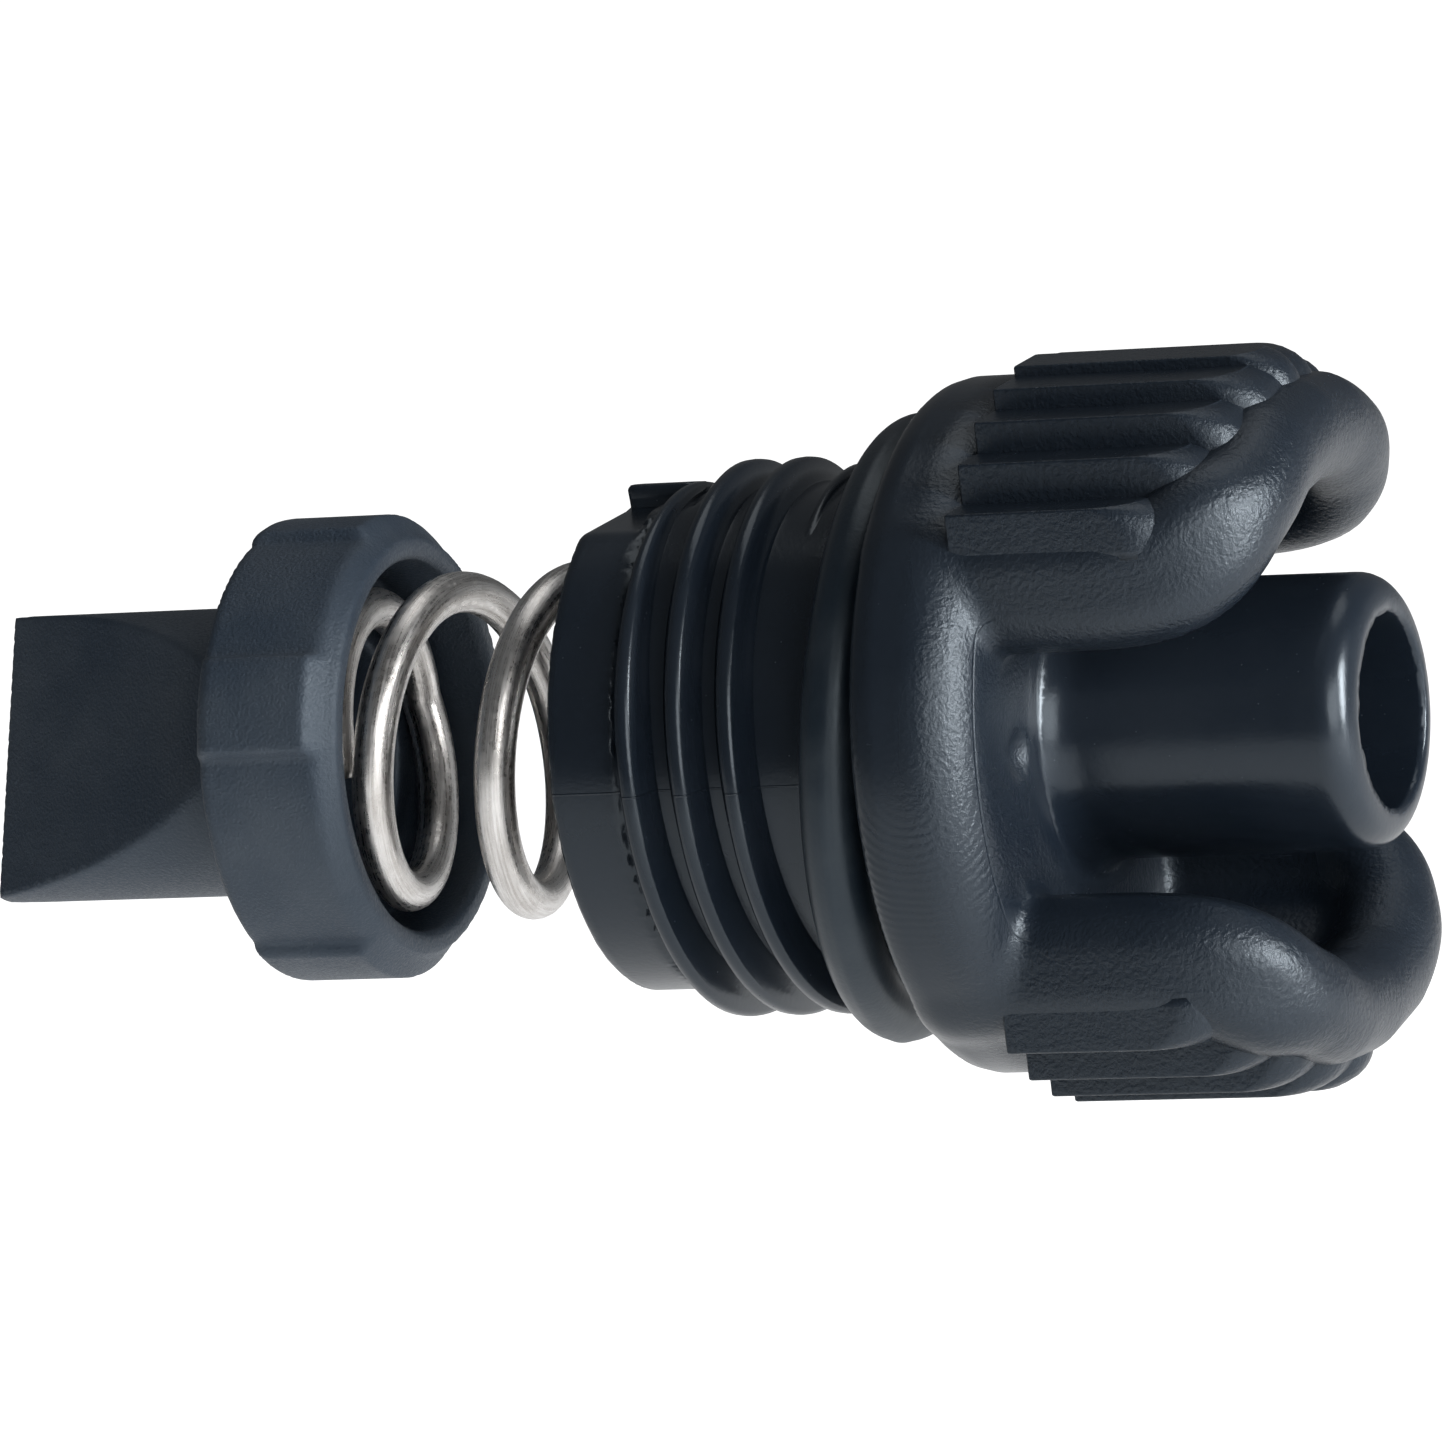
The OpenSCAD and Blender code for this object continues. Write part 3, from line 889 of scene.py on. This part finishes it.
def spring_steel():
    """Drawn stainless wire: fine marks along its length and a speckled gloss."""
    p = Paint("drawn_steel_wire", Metallic=1.0)
    wire = p.node("ShaderNodeUVMap", uv_map="wire").outputs[0]
    lines = p.noise(MM * 1.0, detail=5, rough=0.65, place=p.stretched((0.35, 9.0, 1.0), wire))
    blotch = p.noise(MM * 1.0, detail=4, place=p.stretched((0.3, 1.1, 1.0), wire))
    fleck = p.noise(2.6, detail=4, rough=0.7)
    tone = p.math("ADD", p.span(lines, 0.35, 0.7, 0, 0.6), p.span(blotch, 0.35, 0.7, 0, 0.4))
    p.plug(p.shader.inputs["Base Color"], p.colour(tone, (0.50, 0.475, 0.45), (0.90, 0.885, 0.87)))
    rough = p.math("ADD", p.span(lines, 0.3, 0.7, 0.22, 0.36), p.span(fleck, 0.45, 0.7, 0, 0.16))
    p.plug(p.shader.inputs["Roughness"], rough)
    normal = p.bump(lines, 0.012)
    p.plug(p.shader.inputs["Normal"], p.bump(fleck, 0.010, normal))
    return p.material


def slate_rubber():
    """Matte dark slate elastomer, with the sparkle of a spark-eroded mould."""
    p = Paint("slate_elastomer", IOR=1.5, Specular_Tint=(0.82, 0.92, 1.0, 1.0))
    pits = p.cells(5.5)
    fine = p.noise(7.0, detail=3, rough=0.7)
    cloud = p.noise(0.15, detail=4)
    specks = p.dust(2.0, 0.10)
    share = p.math("ADD", p.span(cloud, 0.3, 0.75, 0, 0.45), p.math("MULTIPLY", specks, 0.5), clamp=True)
    p.plug(p.shader.inputs["Base Color"], p.colour(share, (0.023, 0.035, 0.053), (0.075, 0.09, 0.108)))
    p.plug(p.shader.inputs["Roughness"], p.span(fine, 0.3, 0.7, 0.36, 0.56))
    normal = p.bump(fine, 0.045)
    p.plug(p.shader.inputs["Normal"], p.bump(pits, 0.018, normal))
    return p.material


# ---- The pieces ----

def build_cap():
    """The cap's moulding: its body, its thread and the steps on its grips."""
    body = skin(cap_field(), CAP_LOW - CAP_MARGIN, CAP_HIGH + CAP_MARGIN, CAP_CELL)
    cap = new_piece("cap_moulding", join([body, strip_mesh(thread_rows())] + grip_steps()),
                    "cap", "screw_cap", black_plastic())
    even_normals(cap)


def build_ring():
    """The O-ring, which stays on the cap."""
    new_piece("sealing_ring", ring_mesh(), "cap", "o_ring", ring_rubber())


def build_spring():
    """The spring, on a body of its own; in the valve it shortens towards the pocket's floor as the duckbill
    is pressed in.
    """
    rows = spring_rows()
    coil = new_piece("coil_spring", strip_mesh(rows), "spring", "spring", spring_steel())
    wire_coordinates(coil, rows)
    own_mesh(coil)


def build_duckbill():
    """The duckbill's moulding: collar, bill and slit."""
    mesh = skin(bill_field(), BILL_LOW - BILL_MARGIN, BILL_HIGH + BILL_MARGIN, BILL_CELL)
    bill = new_piece("duckbill_moulding", mesh, "duckbill", "duckbill", slate_rubber())
    even_normals(bill)


# ---- Floor, light and camera ----

def build_floor():
    """A pale sheet well below the part, lit so that it shows as white and reflects less."""
    bpy.ops.mesh.primitive_plane_add(size=FLOOR_SIZE, location=FLOOR_PLACE)
    floor = bpy.context.object
    floor.name = "floor"
    p = Paint("pale_floor", Base_Color=(0.9, 0.9, 0.9, 1), Roughness=0.9, Specular_IOR_Level=0.1)
    p.plug(p.shader.inputs["Emission Color"], (1, 1, 1, 1))
    seen = p.node("ShaderNodeLightPath").outputs["Is Camera Ray"]
    glow = p.math("MULTIPLY_ADD", seen, FLOOR_SEEN_GLOW, FLOOR_GLOW)
    p.plug(p.shader.inputs["Emission Strength"], glow)
    floor.data.materials.append(p.material)


def build_world():
    """White to look at; in reflections bright below and beyond the nozzle, and dim elsewhere."""
    world = bpy.data.worlds.new("studio")
    bpy.context.scene.world = world
    world.use_nodes = True
    tree = world.node_tree
    tree.nodes.clear()
    place = tree.nodes.new("ShaderNodeTexCoord")
    dot = tree.nodes.new("ShaderNodeVectorMath")
    dot.operation = "DOT_PRODUCT"
    tree.links.new(place.outputs["Generated"], dot.inputs[0])
    dot.inputs[1].default_value = Vector(GLOW_TOWARDS).normalized()
    ramp = tree.nodes.new("ShaderNodeMapRange")
    ramp.interpolation_type = "SMOOTHSTEP"
    for socket, value in zip(ramp.inputs[1:5], GLOW_SPAN):
        socket.default_value = value
    tree.links.new(dot.outputs["Value"], ramp.inputs[0])
    seen = tree.nodes.new("ShaderNodeBackground")
    seen.inputs["Strength"].default_value = BACKDROP
    seen.inputs["Color"].default_value = (1, 1, 1, 1)
    unseen = tree.nodes.new("ShaderNodeBackground")
    unseen.inputs["Color"].default_value = (0.94, 0.97, 1, 1)
    tree.links.new(ramp.outputs[0], unseen.inputs["Strength"])
    ray = tree.nodes.new("ShaderNodeLightPath")
    mix = tree.nodes.new("ShaderNodeMixShader")
    tree.links.new(ray.outputs["Is Camera Ray"], mix.inputs[0])
    tree.links.new(unseen.outputs[0], mix.inputs[1])
    tree.links.new(seen.outputs[0], mix.inputs[2])
    out = tree.nodes.new("ShaderNodeOutputWorld")
    tree.links.new(mix.outputs[0], out.inputs["Surface"])


def add_light(name, towards, width, height, power):
    """A soft box in this direction from the part, turned to face it."""
    data = bpy.data.lights.new(name, "AREA")
    data.shape = "RECTANGLE"
    data.size, data.size_y = width, height
    data.energy = power
    lamp = bpy.data.objects.new(name, data)
    bpy.context.scene.collection.objects.link(lamp)
    towards = Vector(towards).normalized()
    lamp.location = MIDDLE + towards * LIGHT_DISTANCE
    lamp.rotation_euler = towards.to_track_quat("Z", "Y").to_euler()


def build_camera():
    """The photograph's view: from the nozzle's side of square on, a little above, slightly rolled."""
    round_by, above = np.radians(VIEW_ROUND), np.radians(VIEW_ABOVE)
    tip = Matrix.Rotation(-above, 3, "X")
    right = tip @ Vector((np.cos(round_by), np.sin(round_by), 0))
    back = tip @ Vector((np.sin(round_by), -np.cos(round_by), 0))
    up = back.cross(right)
    turned = Matrix.Rotation(VIEW_ROLL, 3, back)
    right, up = turned @ right, turned @ up
    data = bpy.data.cameras.new("camera")
    data.lens = LENS
    data.sensor_width = SENSOR
    data.clip_start = 0.01
    data.clip_end = 20
    camera = bpy.data.objects.new("camera", data)
    bpy.context.scene.collection.objects.link(camera)
    place = Vector(VIEW_TARGET) + VIEW_DISTANCE * back + VIEW_SHIFT[0] * right + VIEW_SHIFT[1] * up
    camera.matrix_world = Matrix.Translation(place * MM) @ Matrix((right, up, back)).transposed().to_4x4()
    bpy.context.scene.camera = camera


build_cap()
build_ring()
build_spring()
build_duckbill()
build_floor()
build_world()
for light in LIGHTS:
    add_light(*light)
build_camera()
bpy.context.scene.view_settings.view_transform = "Standard"
bpy.context.scene.view_settings.look = "None"
